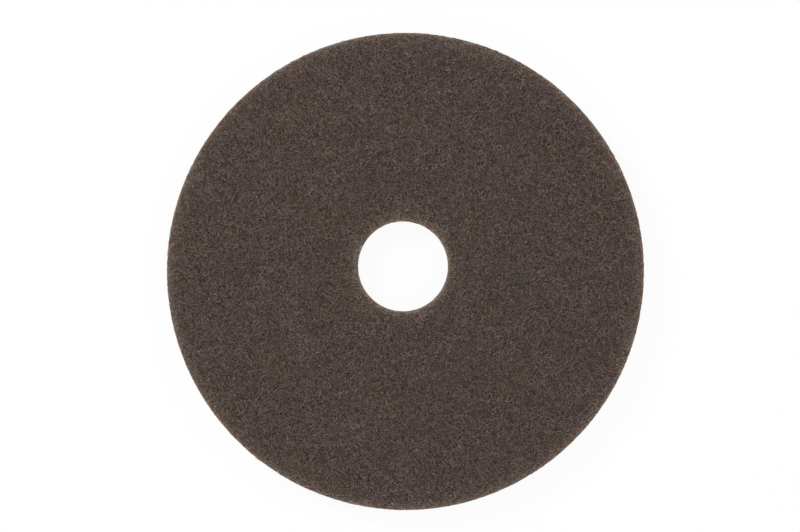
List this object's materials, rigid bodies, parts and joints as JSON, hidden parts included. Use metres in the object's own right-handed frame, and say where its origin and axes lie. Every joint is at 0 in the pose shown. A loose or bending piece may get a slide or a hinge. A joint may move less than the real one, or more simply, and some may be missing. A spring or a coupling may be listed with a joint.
{
  "type": "floor polishing pad",
  "caption": "Round, thick floor machine pad of bonded fibre web with a central hole, for stripping, scrubbing or polishing hard floors.",
  "frame": {"origin": "centre of the pad's outer circle, on the face that lies on the floor; the central hole's axis stands at x -2.2 mm, y 4.6 mm", "axes": "+Z up through the thickness, away from the floor; +X right and +Y up in the picture"},
  "size_m": [0.432, 0.432, 0.0254],
  "materials": {
    "web": "matt dark brown open web of crimped fibres, bonded with abrasive resin"
  },
  "bodies": {
    "root": {"pad_disc": "web"}
  },
  "joints": []
}
